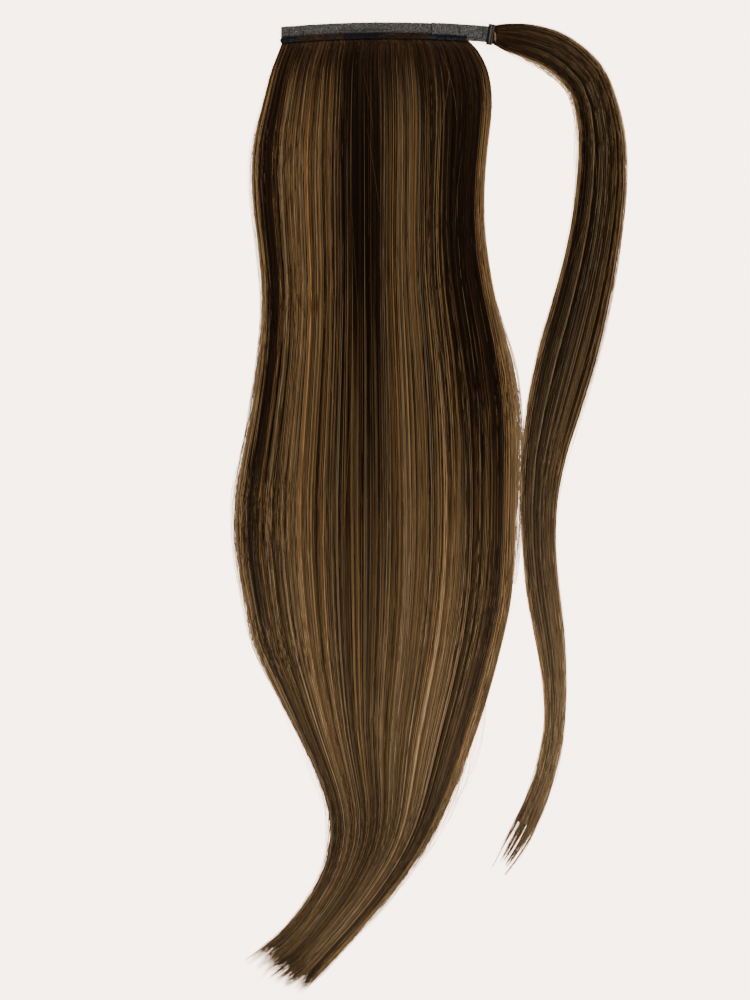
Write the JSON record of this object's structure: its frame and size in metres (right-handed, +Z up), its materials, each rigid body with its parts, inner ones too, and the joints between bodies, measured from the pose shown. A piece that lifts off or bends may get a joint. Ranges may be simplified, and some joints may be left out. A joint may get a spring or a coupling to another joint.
{
  "type": "ponytail hairpiece",
  "caption": "Straight wrap-around ponytail hairpiece, lying open: a long curtain of hair on a short arched loop tape, with a sewn binding and a tab that carries a long tapering wrap lock.",
  "frame": {"origin": "under the middle of the whole piece's box, on the surface that it lies on", "axes": "+X across the hair towards the wrap lock, +Y from the tips to the tape, +Z up from the surface"},
  "size_m": [0.2544, 0.6198, 0.009],
  "materials": {
    "tape": "grey napped loop tape with a fuzzy face",
    "binding": "near-black ribbed binding tape and thread",
    "hair": "straight glossy hair, dark brown roots with golden brown highlights"
  },
  "bodies": {
    "root": {"loop_strip": "tape", "wrap_tab": "tape", "weft_binding": "binding", "hair_curtain": "hair", "wrap_lock": "hair", "lock_whipping": "binding"}
  },
  "joints": []
}
